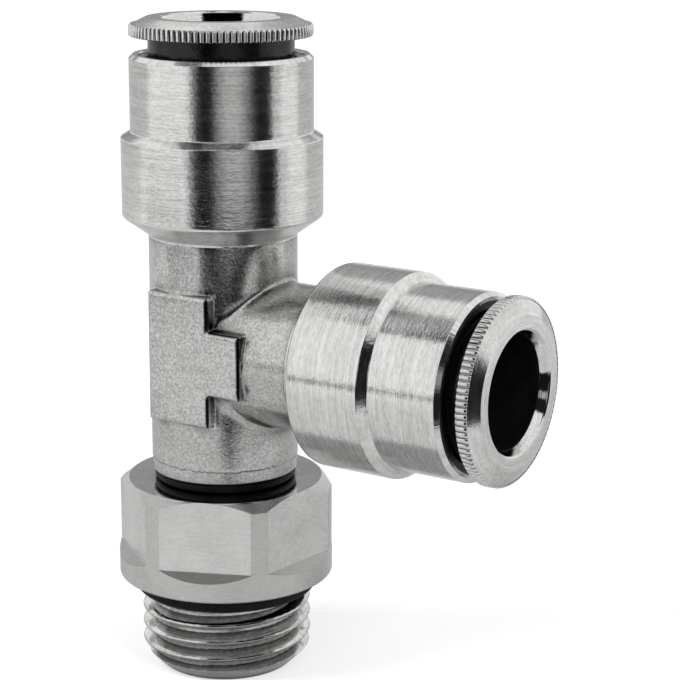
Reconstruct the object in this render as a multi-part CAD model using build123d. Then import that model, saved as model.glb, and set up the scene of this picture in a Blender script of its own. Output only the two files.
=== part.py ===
from build123d import *
import os
from math import cos, radians, sin, tan

# Push-in tee fitting for tube, with a swivel male stud.
# Millimetres. The origin is on the thread axis at the seating face under the hexagon,
# +Z points up the run to its tube port, and +X points out of the branch.

# Tube and fits
tube_d = 8.0
tube_play = 0.1            # radial play of the tube in its socket
bore_play = 0.2            # radial play of the tube in the collet
bite = 0.09                # how far the teeth and the seal lip stand inside the tube's surface
press_gap = 0.02           # radial gap round a ring that is pressed into its bore
running_gap = 0.05         # radial and end gap round a piece that turns or is trapped loosely
slide_gap = 0.15           # radial gap round the sliding collet

# Push ring and collet, from the front face inwards
mouth_l = 0.73
mouth_h = 0.41             # widening of the bore at its mouth
lip_w = 0.96               # width of the flat front face
bevel_l = 0.52
knurl_l = 0.87
knurl_count = 94
knurl_depth = 0.15
knurl_share = 0.8          # part of each pitch that a groove takes at the crest
neck_wall = 1.25
neck_l = 3.1               # full neck behind the head, before the thin fingers
finger_wall = 0.75
finger_l = 7.0             # length of the slots, up to the tips
slot_count = 8
slot_w = 0.7
catch_h = 0.3              # how far the fingers' bulge stands behind the cone ring's throat
bulge_l = 0.6
tip_l = 1.0
tooth_l = 0.45
tooth_pitch = 0.9
tooth_count = 2
stroke = 1.2               # how far a collet is pushed in to let the tube go
rim_gap = 1.31             # from the head to the body's rim, at rest

# Port housings on the body
spread_gap = 0.3           # room round the fingers' bulge
mouth_wall = 0.67
narrow_l = 5.71
step_l = 0.45
step_h = 0.72
shoulder_l = 1.38
floor_web = 0.86           # metal from the cavity's floor to the shoulder's foot
rim_chamfer = 0.3
socket_l = 3.0             # tube socket, from the seal to the tube's stop
socket_wall = 1.4
lead_in = 0.3
head_under = 0.03          # how much smaller the head is than the narrow collar

# Rings in each port
cone_recess = 0.25         # cone ring's end below the rim
wedge_slope = 1 / 3        # widening of the cone seat per length
wedge_gap = 0.12
cone_wall = 0.2            # wall that is left at the cone ring's wide end
washer_t = 0.6
tip_gap = 0.3              # from the pushed collet's tips to the washer
seal_l = 1.7
seal_root_l = 0.3          # foot of the seal before its lip

# Forged body
blend_r = 0.9
stop_h = 1.0               # step that stops the tube at the passage
bore_web = 1.64            # metal between the swivel bore and the branch's passage
run_web = 3.65             # metal between the branch's passage and the run's tube stop
branch_web = 4.45          # metal between the run's passage and the branch's tube stop
turned_l = 0.96
forging_h = 0.06           # how far the forged skin stands above the turned foot
pad_h = 0.31               # how far the flat pads stand above the stem
pad_half_w = 2.75
pad_half_h = 4.97
tab_half_h = 2.45
tab_reach = 5.6
pad_corner = 0.3
pad_edge = 0.2

# Stud
thread_major_d = 13.157    # G1/4
thread_l = 7.41
thread_chamfer = 1.43
undercut_h = 0.8
undercut_l = 1.5
thread_runout_l = 0.55
stud_bore_chamfer = 0.5
hex_af = 15.0
corner_h = 0.82            # turned corners beyond the flats
hex_top_z = 7.65
hex_turn = -5.9            # angle from +X to the nearest flat's normal
crown_l = 0.65
collar_l = 2.15            # round collar under the flats
flat_ramp = 0.75           # drop of the cutter's run-out per depth
seat_chamfer = 0.2
seat_seal_d = 1.32         # section of the seal under the hexagon

# Swivel
wiper_space = 0.79         # from the hexagon to the body, filled by the wiper ring
swivel_wall = 1.7
swivel_l = 5.45            # neck above the hexagon
swivel_end_gap = 0.3
swivel_chamfer = 0.3
seal_groove_z = 1.95       # from the hexagon's top to the seal's groove
seal_groove_l = 1.3
seal_groove_h = 0.85
clip_z = 4.3               # from the hexagon's top to the clip's centre
clip_t = 0.7
clip_bite = 0.45           # how deep the clip sits in the neck
clip_reach = 0.2           # how deep the clip sits in the tee
clip_cover = 0.58          # wall of the tee outside the clip
clip_slot_angle = 36
corner_share = 0.3         # share of a rubber section that its cut corners take

# Worked-out radii, from the tube outwards
tube_r = tube_d / 2
socket_r = tube_r + tube_play
passage_r = tube_r - stop_h
lip_in_r = tube_r - bite
collet_bore_r = tube_r + bore_play
mouth_r = collet_bore_r + mouth_h
lip_r = mouth_r + lip_w
finger_r = collet_bore_r + finger_wall
collet_neck_r = collet_bore_r + neck_wall
throat_r = collet_neck_r + slide_gap
bulge_r = throat_r + catch_h
cavity_r = bulge_r + spread_gap
narrow_r = cavity_r + mouth_wall
wide_r = narrow_r + step_h
head_r = narrow_r - head_under
branch_neck_r = socket_r + socket_wall
ring_r = cavity_r - press_gap

# Worked-out radii of the stud and the swivel
thread_r = thread_major_d / 2
undercut_r = thread_r - undercut_h
hex_corner_r = hex_af / 2 + corner_h
swivel_r = passage_r + swivel_wall
swivel_bore_r = swivel_r + running_gap
seal_groove_r = swivel_r - seal_groove_h
clip_in_r = swivel_r - clip_bite
clip_out_r = swivel_bore_r + clip_reach
turned_r = clip_out_r + running_gap + clip_cover
stem_r = turned_r + forging_h

# Worked-out levels of a port, outwards from its front face
head_back = -(bevel_l + knurl_l)
rim = head_back - rim_gap
narrow_end = rim - narrow_l
step_end = narrow_end - step_l
neck_end = head_back - neck_l
bulge_back = neck_end - finger_l + tip_l
bulge_front = bulge_back + bulge_l
collet_tip = bulge_back - tip_l
seat_end_r = ring_r - cone_wall
seat_end = bulge_front + (bulge_r + wedge_gap - seat_end_r) / wedge_slope
seat_start = seat_end + (seat_end_r - throat_r) / wedge_slope
washer_front = collet_tip - stroke - tip_gap
washer_back = washer_front - washer_t
cavity_floor = washer_back - seal_l
tube_stop = cavity_floor - socket_l
shoulder_end = cavity_floor - floor_web
wide_end = shoulder_end + shoulder_l

# Worked-out levels along the thread axis, and the ports' places
stem_base = hex_top_z + wiper_space
swivel_top = hex_top_z + swivel_l
bore_top = swivel_top + swivel_end_gap
clip_level = hex_top_z + clip_z
branch_z = bore_top + bore_web + passage_r
run_face_z = branch_z + passage_r + run_web - tube_stop
branch_face_x = passage_r + branch_web - tube_stop
pad_y = stem_r + pad_h

run_port = Location((0, 0, run_face_z))
branch_port = Location((branch_face_x, 0, branch_z), (0, 90, 0))


def turned(*points):
    """Solid turned round Z from a closed outline of (radius, level) points."""
    outline = Polyline(*points, close=True)
    return revolve(Plane.XZ * make_face(outline), Axis.Z)


def bar(radius, low, high):
    """Round bar on Z between two levels."""
    return Pos(0, 0, low) * Cylinder(radius, high - low, align=(Align.CENTER, Align.CENTER, Align.MIN))


def push_ring():
    """Knurled metal cap on the collet, which is pushed in to let the tube go."""
    seat_r = collet_neck_r + press_gap
    blank = turned(
        (mouth_r, 0), (lip_r, 0), (head_r, -bevel_l), (head_r, head_back),
        (seat_r, head_back), (seat_r, -mouth_l), (collet_bore_r, -mouth_l),
    )
    return blank - knurl_grooves()


def collet():
    """Moulded collet under the push ring: a neck, and fingers that grip the tube."""
    front = -mouth_l - press_gap
    tooth_root_r = collet_bore_r + bite
    body = turned(
        (collet_bore_r, front), (collet_neck_r, front), (collet_neck_r, neck_end),
        (finger_r, neck_end - (collet_neck_r - finger_r)),
        (finger_r, bulge_front + (bulge_r - finger_r) / wedge_slope),
        (bulge_r, bulge_front), (bulge_r, bulge_back),
        (finger_r, collet_tip), (collet_bore_r, collet_tip),
    )
    for i in range(tooth_count):
        root = bulge_front - i * tooth_pitch
        body += turned(
            (tooth_root_r, root), (collet_bore_r, root), (lip_in_r, root - tooth_l * 2 / 3),
            (collet_bore_r, root - tooth_l), (tooth_root_r, root - tooth_l),
        )
    return body - finger_slots()


def finger_slots():
    """Radial slots that free the collet's fingers."""
    slot = Pos(0, 0, collet_tip) * Box(
        bulge_r + 1, slot_w, finger_l, align=(Align.MIN, Align.CENTER, Align.MIN)
    )
    return [Rot(0, 0, angle) * slot for angle in spread(slot_count)]


def knurl_grooves():
    """Straight knurl round the push ring, as the notches to cut away."""
    half = radians(180 / knurl_count * knurl_share)
    top = head_r + knurl_depth
    root = head_r - knurl_depth
    notch = make_face(Polyline(
        (root, 0), (top * cos(half), top * sin(half)), (top * cos(half), -top * sin(half)), close=True
    ))
    notches = Sketch() + [Rot(0, 0, angle) * notch for angle in spread(knurl_count)]
    return Pos(0, 0, head_back - knurl_depth) * extrude(notches, knurl_l + knurl_depth)


def spread(count):
    """Angles of an even round pattern."""
    return [360 / count * i for i in range(count)]


def cone_ring():
    """Ring in the mouth: its inner cone closes the fingers when the tube pulls out."""
    front = rim - cone_recess
    return turned(
        (throat_r, front), (ring_r, front), (ring_r, seat_end),
        (seat_end_r, seat_end), (throat_r, seat_start),
    )


def support_washer():
    """Flat ring between the collet's tips and the seal."""
    return bar(ring_r, washer_back, washer_front) - bar(collet_bore_r, washer_back, washer_front)


def tube_seal():
    """Rubber lip seal that closes on the tube."""
    back = cavity_floor + press_gap
    front = washer_back - press_gap
    lip_root_r = (ring_r + lip_in_r) / 2
    lip_front = front - seal_root_l
    lip_back = (lip_front + back) / 2
    return turned(
        (ring_r, front), (collet_bore_r + bore_play, front), (lip_in_r, lip_front),
        (lip_in_r, lip_back), (lip_root_r, back), (ring_r, back),
    )


def port_housing():
    """Outside of one port: two turned collars and the shoulder down to the forging."""
    return turned(
        (0, rim), (narrow_r - rim_chamfer, rim), (narrow_r, rim - rim_chamfer),
        (narrow_r, narrow_end), (wide_r, step_end), (wide_r, wide_end),
        (branch_neck_r, shoulder_end), (0, shoulder_end),
    )


def port_bore():
    """Inside of one port: cavity for the rings, tube socket and passage behind it."""
    return turned(
        (0, rim), (cavity_r + rim_chamfer, rim), (cavity_r, rim - rim_chamfer),
        (cavity_r, cavity_floor), (socket_r + lead_in, cavity_floor),
        (socket_r, cavity_floor - lead_in), (socket_r, tube_stop), (0, tube_stop),
    )


def flat_pad():
    """Raised flat pad of the forging, a bar along the stem with a tab to the branch."""
    upright = Rectangle(2 * pad_half_w, 2 * pad_half_h)
    tab = Rectangle(tab_reach, 2 * tab_half_h, align=(Align.MIN, Align.CENTER))
    outline = fillet((upright + tab).vertices(), pad_corner)
    pad = extrude(Plane((0, 0, branch_z), (1, 0, 0), (0, -1, 0)) * outline, pad_y)
    return chamfer(pad.faces().sort_by(Axis.Y)[0].edges(), pad_edge)


def tee_body():
    """Forged and turned tee that carries both ports and turns on the stud."""
    stem_top = run_face_z + shoulder_end
    stem = bar(stem_r, stem_base + turned_l, stem_top)
    core = stem + branch_port * bar(branch_neck_r, -branch_face_x, shoulder_end)
    crease = core.edges().filter_by(lambda e: e.geom_type not in (GeomType.LINE, GeomType.CIRCLE))
    core = fillet(crease, blend_r)
    pad = flat_pad()
    body = core + bar(turned_r, stem_base, stem_base + turned_l) + pad + mirror(pad, Plane.XZ)
    body += [run_port * port_housing(), branch_port * port_housing()]
    body -= [run_port * port_bore(), branch_port * port_bore(), swivel_bore()]
    body -= bar(passage_r, bore_top, run_face_z + tube_stop)
    body -= branch_port * bar(passage_r, -branch_face_x, tube_stop)
    return body


def swivel_bore():
    """Bore that runs on the stud's neck, with the clip's groove."""
    return turned(
        (0, stem_base), (swivel_bore_r + swivel_chamfer, stem_base),
        (swivel_bore_r, stem_base + swivel_chamfer),
        (swivel_bore_r, clip_level - clip_t / 2 - running_gap),
        (clip_out_r + running_gap, clip_level - clip_t / 2 - running_gap),
        (clip_out_r + running_gap, clip_level + clip_t / 2 + running_gap),
        (swivel_bore_r, clip_level + clip_t / 2 + running_gap),
        (swivel_bore_r, bore_top), (0, bore_top),
    )


def male_stud():
    """Threaded stud with its hexagon and the neck that the tee turns on."""
    groove_low = hex_top_z + seal_groove_z
    thread_start = -undercut_l - thread_runout_l
    blank = turned(
        (passage_r + stud_bore_chamfer, -thread_l), (thread_r - thread_chamfer, -thread_l),
        (thread_r, -thread_l + thread_chamfer), (thread_r, thread_start),
        (undercut_r, -undercut_l), (undercut_r, 0),
        (hex_corner_r - seat_chamfer, 0), (hex_corner_r, seat_chamfer),
        (hex_corner_r, hex_top_z - crown_l), (hex_af / 2, hex_top_z),
        (swivel_r, hex_top_z), (swivel_r, groove_low), (seal_groove_r, groove_low),
        (seal_groove_r, groove_low + seal_groove_l), (swivel_r, groove_low + seal_groove_l),
        (swivel_r, clip_level - clip_t / 2 - running_gap),
        (clip_in_r - running_gap, clip_level - clip_t / 2 - running_gap),
        (clip_in_r - running_gap, clip_level + clip_t / 2 + running_gap),
        (swivel_r, clip_level + clip_t / 2 + running_gap),
        (swivel_r, swivel_top - swivel_chamfer), (swivel_r - swivel_chamfer, swivel_top),
        (passage_r, swivel_top), (passage_r, -thread_l + stud_bore_chamfer),
    )
    return blank - [Rot(0, 0, hex_turn + angle) * flat_cut() for angle in spread(6)]


def flat_cut():
    """Cutter that mills one flat of the hexagon and runs out above the round collar."""
    inside = hex_af / 2
    outside = hex_corner_r + 1
    section = Plane.XZ * make_face(Polyline(
        (inside, collar_l), (inside, hex_top_z + 1), (outside, hex_top_z + 1),
        (outside, collar_l - (outside - inside) * flat_ramp), close=True,
    ))
    return extrude(section, hex_corner_r, both=True)


def rubber_ring(inner_r, section_w, low, high):
    """Rubber ring squeezed in its groove: a section with cut corners."""
    outer_r = inner_r + section_w
    cut = section_w * corner_share
    return turned(
        (inner_r + cut, low), (outer_r - cut, low), (outer_r, low + cut), (outer_r, high - cut),
        (outer_r - cut, high), (inner_r + cut, high), (inner_r, high - cut), (inner_r, low + cut),
    )


def seat_seal():
    """Rubber ring in the undercut, which seals under the hexagon."""
    return rubber_ring(undercut_r + press_gap, seat_seal_d, -seat_seal_d - press_gap, -press_gap)


def wiper_ring():
    """Rubber ring between the hexagon and the tee."""
    section = wiper_space - 2 * running_gap
    return rubber_ring(swivel_bore_r, section, hex_top_z + running_gap, stem_base - running_gap)


def swivel_seal():
    """Rubber ring in the neck's groove."""
    section = swivel_bore_r - seal_groove_r - running_gap - press_gap
    level = hex_top_z + seal_groove_z + seal_groove_l / 2
    return rubber_ring(seal_groove_r + press_gap, section, level - section / 2, level + section / 2)


def retaining_clip():
    """Split wire ring that holds the tee on the stud and lets it turn."""
    low = clip_level - clip_t / 2
    high = clip_level + clip_t / 2
    reach = 2 * clip_out_r
    half_gap = reach * tan(radians(clip_slot_angle / 2))
    wedge = make_face(Polyline((0, 0), (-reach, half_gap), (-reach, -half_gap), close=True))
    return bar(clip_out_r, low, high) - bar(clip_in_r, low, high) - Pos(0, 0, low) * extrude(wedge, clip_t)


def write(shape, node):
    """Save one node's solid."""
    export_step(shape, "parts/" + node + ".step")


os.makedirs("parts", exist_ok=True)
write(tee_body(), "tee_body")
write(male_stud(), "male_stud")
write(seat_seal(), "seat_seal")
write(wiper_ring(), "wiper_ring")
write(swivel_seal(), "swivel_seal")
write(retaining_clip(), "retaining_clip")
for side, port in (("run", run_port), ("branch", branch_port)):
    write(port * push_ring(), side + "_push_ring")
    write(port * collet(), side + "_collet")
    write(port * cone_ring(), side + "_cone_ring")
    write(port * support_washer(), side + "_support_washer")
    write(port * tube_seal(), side + "_tube_seal")
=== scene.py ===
"""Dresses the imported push-in tee fitting: turned collars, forged body, hexagon, thread, knurls and rubber.

Sizes in the classes are millimetres, in the part's own frame: the origin is on the thread axis at the
seating face, +Z runs up to the run's port and +X out of the branch.
"""

import logging
import math
from dataclasses import dataclass, field
from enum import Enum
from typing import Any, Sequence

import bpy
import numpy as np
from mathutils import Matrix, Vector

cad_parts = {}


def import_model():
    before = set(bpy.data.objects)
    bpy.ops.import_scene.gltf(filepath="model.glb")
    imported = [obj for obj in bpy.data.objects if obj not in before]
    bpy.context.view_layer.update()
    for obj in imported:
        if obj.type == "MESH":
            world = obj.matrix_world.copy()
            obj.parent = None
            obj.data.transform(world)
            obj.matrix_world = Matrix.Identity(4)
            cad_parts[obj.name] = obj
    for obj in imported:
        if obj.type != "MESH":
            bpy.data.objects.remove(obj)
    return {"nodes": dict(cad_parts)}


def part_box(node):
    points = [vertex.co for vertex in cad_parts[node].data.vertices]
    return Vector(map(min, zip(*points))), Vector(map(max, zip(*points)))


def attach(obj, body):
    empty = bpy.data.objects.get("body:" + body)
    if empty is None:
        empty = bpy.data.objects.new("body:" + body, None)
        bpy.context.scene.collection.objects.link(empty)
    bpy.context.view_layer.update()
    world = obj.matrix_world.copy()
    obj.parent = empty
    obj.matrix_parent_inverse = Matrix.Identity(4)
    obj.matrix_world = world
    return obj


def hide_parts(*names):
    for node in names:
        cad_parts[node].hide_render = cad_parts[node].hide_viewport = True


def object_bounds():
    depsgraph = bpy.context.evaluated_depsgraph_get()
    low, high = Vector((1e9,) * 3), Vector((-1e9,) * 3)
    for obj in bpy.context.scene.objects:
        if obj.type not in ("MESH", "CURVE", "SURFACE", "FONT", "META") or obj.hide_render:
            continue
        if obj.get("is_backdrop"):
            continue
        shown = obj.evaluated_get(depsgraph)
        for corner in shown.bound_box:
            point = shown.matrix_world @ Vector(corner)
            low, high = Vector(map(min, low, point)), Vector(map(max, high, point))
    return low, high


MM = 0.001
LOG = logging.getLogger("push_in_tee")


class Slot(Enum):
    """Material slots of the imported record."""

    FORGED = "forged_nickel"
    TURNED = "turned_nickel"
    BRASS = "bare_brass"
    STEEL = "spring_steel"
    RUBBER = "black_rubber"
    POLYMER = "black_polymer"


class Body(Enum):
    """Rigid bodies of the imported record."""

    STUD = "stud"
    TEE = "tee"
    RUN_RING = "run_release_ring"
    BRANCH_RING = "branch_release_ring"


class Sock:
    """A node socket that can be used in Python expressions; each operation adds a Math node."""

    def __init__(self, nodes: "Nodes", socket: Any) -> None:
        """Wrap a socket.

        Args:
            nodes: The tree that the socket belongs to.
            socket: The output socket.
        """
        self.nodes = nodes
        self.socket = socket

    def _op(self, operation: str, *values: Any) -> "Sock":
        """Add one Math node with this operation on the given values."""
        return self.nodes.add("ShaderNodeMath", {"operation": operation}, dict(enumerate(values)))[0]

    def __add__(self, other: Any) -> "Sock":
        """Sum."""
        return self._op("ADD", self, other)

    __radd__ = __add__

    def __sub__(self, other: Any) -> "Sock":
        """Difference."""
        return self._op("SUBTRACT", self, other)

    def __rsub__(self, other: Any) -> "Sock":
        """Difference from a plain number."""
        return self._op("SUBTRACT", other, self)

    def __mul__(self, other: Any) -> "Sock":
        """Product."""
        return self._op("MULTIPLY", self, other)

    __rmul__ = __mul__

    def __truediv__(self, other: Any) -> "Sock":
        """Quotient."""
        return self._op("DIVIDE", self, other)

    def __pow__(self, other: Any) -> "Sock":
        """Power."""
        return self._op("POWER", self, other)

    def __neg__(self) -> "Sock":
        """Negative."""
        return self._op("MULTIPLY", self, -1.0)

    def __abs__(self) -> "Sock":
        """Absolute value."""
        return self._op("ABSOLUTE", self)

    def sqrt(self) -> "Sock":
        """Square root."""
        return self._op("SQRT", self)

    def least(self, other: Any) -> "Sock":
        """The smaller of two values."""
        return self._op("MINIMUM", self, other)

    def most(self, other: Any) -> "Sock":
        """The larger of two values."""
        return self._op("MAXIMUM", self, other)

    def blend_least(self, other: Any, width: float) -> "Sock":
        """The smaller of two values, rounded over a width where they meet."""
        return self._op("SMOOTH_MIN", self, other, width)

    def step(self, low: float, high: float) -> "Sock":
        """Smooth step from 0 at low to 1 at high."""
        settings = {"interpolation_type": "SMOOTHSTEP"}
        return self.nodes.add("ShaderNodeMapRange", settings, {"Value": self, "From Min": low, "From Max": high})[0]


class Nodes:
    """Builds a shader or geometry tree."""

    def __init__(self, tree: bpy.types.NodeTree) -> None:
        """Wrap a node tree.

        Args:
            tree: The tree to build in.
        """
        self.tree = tree

    def add(self, kind: str, settings: dict[str, Any] | None = None, inputs: dict[Any, Any] | None = None) -> list[Sock]:
        """Add one node.

        Args:
            kind: The node's type name.
            settings: Attributes of the node, and "stops" for a colour ramp; set first.
            inputs: Values or sockets by input name or index.

        Returns:
            The node's outputs, wrapped.
        """
        node = self.tree.nodes.new(kind)
        for name, value in (settings or {}).items():
            if name == "stops":
                ramp = node.color_ramp
                while len(ramp.elements) < len(value):
                    ramp.elements.new(0.5)
                for element, (position, shade) in zip(ramp.elements, value):
                    element.position = position
                    element.color = (*shade, 1.0)
            else:
                setattr(node, name, value)
        for name, value in (inputs or {}).items():
            if isinstance(value, Sock):
                self.tree.links.new(value.socket, node.inputs[name])
            else:
                node.inputs[name].default_value = value
        return [Sock(self, s) for s in node.outputs if s.enabled]

    def split(self, vector: Sock) -> list[Sock]:
        """The three parts of a vector."""
        return self.add("ShaderNodeSeparateXYZ", None, {0: vector})

    def join(self, x: Any, y: Any, z: Any) -> Sock:
        """A vector of three values."""
        return self.add("ShaderNodeCombineXYZ", None, {0: x, 1: y, 2: z})[0]

    def noise(self, vector: Sock, scale: float, detail: float = 2.0, rough: float = 0.5) -> Sock:
        """A noise value from 0 to 1.

        Args:
            vector: Where to read the noise.
            scale: Its frequency.
            detail: Its octaves.
            rough: The weight of the octaves.

        Returns:
            The value's socket.
        """
        return self.add("ShaderNodeTexNoise", None, {"Vector": vector, "Scale": scale, "Detail": detail, "Roughness": rough})[0]

    def open_share(self, distance: float) -> Sock:
        """How open a spot is, from 0 in a tight crease to 1, within a distance in millimetres."""
        return self.add("ShaderNodeAmbientOcclusion", {"samples": 8}, {"Distance": distance * MM})[1]

    def shade(self, mask: Sock, dark: Any, light: Any) -> Sock:
        """A colour between two, by a mask."""
        ends = {slot: tone if isinstance(tone, Sock) else (*tone, 1.0) for slot, tone in ((6, dark), (7, light))}
        return self.add("ShaderNodeMix", {"data_type": "RGBA"}, {"Factor": mask, **ends})[0]


@dataclass(frozen=True)
class Axis:
    """A line that surfaces are turned round, in millimetres."""

    origin: tuple[float, float, float]
    along_x: bool = False

    @property
    def place(self) -> Matrix:
        """Matrix from a turned piece's own frame (its axis on Z) to the part's frame."""
        turn = Matrix.Rotation(math.radians(90), 4, "Y") if self.along_x else Matrix.Identity(4)
        return Matrix.Translation(Vector(self.origin)) @ turn


def principled(name: str, metallic: float, ior: float = 1.5) -> tuple[bpy.types.Material, Nodes, bpy.types.Node]:
    """A new material with an empty principled surface.

    Args:
        name: The material's name.
        metallic: 1 for bare metal, 0 for rubber.
        ior: Index of refraction.

    Returns:
        The material, its tree and its shader node.
    """
    material = bpy.data.materials.new(name)
    material.use_nodes = True
    shader = material.node_tree.nodes["Principled BSDF"]
    shader.inputs["Metallic"].default_value = metallic
    shader.inputs["IOR"].default_value = ior
    return material, Nodes(material.node_tree), shader


def finish_surface(nodes: Nodes, shader: bpy.types.Node, colour: Sock, roughness: Sock, height: Sock, depth: float) -> None:
    """Link a colour, a roughness and a bump to a shader.

    Args:
        nodes: The material's tree.
        shader: Its principled node.
        colour: Base colour.
        roughness: Roughness.
        height: Height of the relief, 0 to 1.
        depth: The relief's depth in millimetres.
    """
    bump = nodes.add("ShaderNodeBump", None, {"Height": height, "Distance": depth * MM, "Strength": 1.0})[0]
    links = nodes.tree.links
    links.new(colour.socket, shader.inputs["Base Color"])
    links.new(roughness.socket, shader.inputs["Roughness"])
    links.new(bump.socket, shader.inputs["Normal"])


@dataclass(frozen=True)
class TurnedFinish:
    """Nickel that still shows the lathe tool's fine rings, with painted shade in tight creases and, where a groove is
    given, at its root.
    """

    name: str
    axis: Axis
    dark: tuple[float, float, float] = (0.52, 0.52, 0.51)
    light: tuple[float, float, float] = (0.84, 0.84, 0.83)
    roughness: float = 0.15
    ring_depth: float = 0.008
    ring_pitch: float = 0.11
    # groove: inner radius and level range of a knurl groove whose root is painted a dark shade tone.
    groove: tuple[float, float, float] | None = None
    groove_shade_tone: float = 0.06
    polished_r: float = 0.0

    def build(self) -> bpy.types.Material:
        """Make the material.

        Returns:
            The material.
        """
        material, nodes, shader = principled(self.name, 1.0)
        coord = nodes.add("ShaderNodeTexCoord")[3]
        x, y, z = nodes.split(coord)
        ox, oy, oz = (v * MM for v in self.axis.origin)
        along, side, up = (x - ox, y - oy, z - oz) if self.axis.along_x else (z - oz, x - ox, y - oy)
        radius = (side * side + up * up).sqrt()
        travel = (along + radius) / MM
        sweep = nodes.join(travel / self.ring_pitch, side / radius, up / radius)
        rings = nodes.noise(sweep, 1.0, 3.0, 0.6)
        streaks = nodes.noise(nodes.join(travel * 3.0, side / radius * 2.5, up / radius * 2.5), 1.0, 3.0, 0.7)
        chatter = nodes.noise(nodes.join(travel * 6.0, side / radius * 16.0, up / radius * 16.0), 1.0, 3.0, 0.65)
        cloud = nodes.noise(coord, 0.35 / MM, 3.0)
        mask = (rings * 0.5 + streaks * 0.5 + chatter * 0.5).step(0.50, 1.0)
        colour = nodes.shade(mask, self.dark, self.light)
        # Painted shade: the colour turns dark grey in tight creases, by ambient occlusion.
        colour = nodes.shade(nodes.open_share(0.7).step(0.15, 0.8), (0.12, 0.12, 0.12), colour)
        # Painted shade: a dark band at the groove's root between the knurl ribs.
        if self.groove:
            inside, low, high = self.groove
            level, reach = along / MM, radius / MM
            groove_shade_mask = (1.0 - reach.step(inside, inside + 0.09)) * reach.step(inside - 0.3, inside - 0.25)
            colour = nodes.shade(groove_shade_mask * level.step(low - 0.03, low) * (1.0 - level.step(high - 0.03, high)), colour, (self.groove_shade_tone,) * 3)
        rough = streaks * 0.12 + cloud * 0.08 + (self.roughness - 0.10)
        if self.polished_r:
            polish = 1.0 - (radius / MM).step(self.polished_r - 0.04, self.polished_r + 0.04)
            rough = rough * (1.0 - polish * 0.7)
        finish_surface(nodes, shader, colour, rough, rings * 0.5 + chatter * 2.0, self.ring_depth)
        return material


@dataclass(frozen=True)
class BlastedFinish:
    """Nickel on a forged and blasted skin: grainy, with soft dents, and with painted shade in creases and along the
    pads' right-facing edges.
    """

    name: str
    dark: tuple[float, float, float] = (0.34, 0.34, 0.33)
    light: tuple[float, float, float] = (0.70, 0.70, 0.69)
    roughness: float = 0.17
    grain_depth: float = 0.013
    pad_foot_y: float = 5.66
    tab_start: float = 2.75

    def build(self) -> bpy.types.Material:
        """Make the material.

        Returns:
            The material.
        """
        material, nodes, shader = principled(self.name, 1.0)
        found = nodes.add("ShaderNodeTexCoord")
        coord, normal = found[3], found[1]
        grain = nodes.noise(coord, 5.5 / MM, 3.0, 0.65)
        dents = nodes.noise(coord, 1.3 / MM, 2.0, 0.5)
        cloud = nodes.noise(coord, 0.22 / MM, 3.0, 0.6)
        mask = (grain * 0.9 + dents * 0.15 + cloud * 0.25).step(0.42, 0.88)
        colour = nodes.shade(mask, self.dark, self.light)
        # Painted shade: the colour darkens in creases and turns near black in the tightest ones, by ambient occlusion.
        colour = nodes.shade(nodes.open_share(3.2).step(0.40, 0.90), (0.10, 0.10, 0.10), colour)
        colour = nodes.shade(nodes.open_share(1.1).step(0.55, 0.96), (0.015, 0.015, 0.015), colour)
        turn, face = nodes.split(normal), nodes.split(coord)
        # Painted shade: near-black lines along the pads' right-facing edges and the tab's top edge, picked by the
        # normal's direction.
        tab_top_shade = turn[2].step(0.4, 0.7) * (face[0] / MM).step(self.tab_start, self.tab_start + 0.1)
        edge = (turn[0].step(0.4, 0.7) + tab_top_shade) * (face[1] / -MM).step(self.pad_foot_y, self.pad_foot_y + 0.06)
        colour = nodes.shade(edge, colour, (0.012, 0.012, 0.012))
        rough = cloud * 0.10 + grain * 0.16 + (self.roughness - 0.12)
        finish_surface(nodes, shader, colour, rough, grain * 0.8 + dents * 0.7, self.grain_depth)
        return material


@dataclass(frozen=True)
class MilledFinish:
    """Satin nickel on faces that a cutter milled, with a bright turned face on top, and with painted shade on the round
    corners, on the run-out ramps and in creases.
    """

    name: str
    top_z: float
    round_r: float = 8.3
    dark: tuple[float, float, float] = (0.61, 0.61, 0.60)
    light: tuple[float, float, float] = (0.82, 0.82, 0.81)
    roughness: float = 0.28

    def build(self) -> bpy.types.Material:
        """Make the material.

        Returns:
            The material.
        """
        material, nodes, shader = principled(self.name, 1.0)
        found = nodes.add("ShaderNodeTexCoord")
        coord, normal = found[3], found[1]
        x, y, z = nodes.split(coord)
        marks = nodes.noise(nodes.join(x * (1.2 / MM), y * (1.2 / MM), z * (7.0 / MM)), 1.0, 3.0, 0.6)
        grain = nodes.noise(coord, 5.0 / MM, 2.0, 0.6)
        cloud = nodes.noise(coord, 0.3 / MM, 3.0, 0.6)
        mask = (marks * 0.5 + grain * 0.4 + cloud * 0.6).step(0.45, 1.05)
        colour = nodes.shade(mask, self.dark, self.light)
        # Painted shade: the round corners between the flats are mixed towards a darker grey.
        corner = ((x * x + y * y).sqrt() / MM).step(self.round_r - 0.03, self.round_r)
        colour = nodes.shade(corner * 0.32, colour, (0.28, 0.28, 0.275))
        # Painted shade: the cutter's run-out ramps, picked by how far their normal leans up, are darker grey, more so
        # below 3.6 mm.
        lean = nodes.split(normal)[2]
        ramp = lean.step(0.25, 0.45) * (1.0 - lean.step(0.90, 0.95))
        colour = nodes.shade(ramp * (0.7 - (z / MM).step(3.6, 3.8) * 0.2), colour, (0.22, 0.22, 0.215))
        # Painted shade: near black in tight creases, by ambient occlusion.
        colour = nodes.shade(nodes.open_share(0.5).step(0.15, 0.8), (0.05, 0.05, 0.05), colour)
        satin = cloud * 0.14 + grain * 0.08 + (self.roughness - 0.10)
        turned = (z / MM).step(self.top_z - 0.12, self.top_z - 0.02)
        rough = satin - turned * (satin - 0.10)
        finish_surface(nodes, shader, colour, rough, (marks * 0.6 + grain * 0.5) * (1.0 - turned * 0.8), 0.006)
        return material


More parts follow.
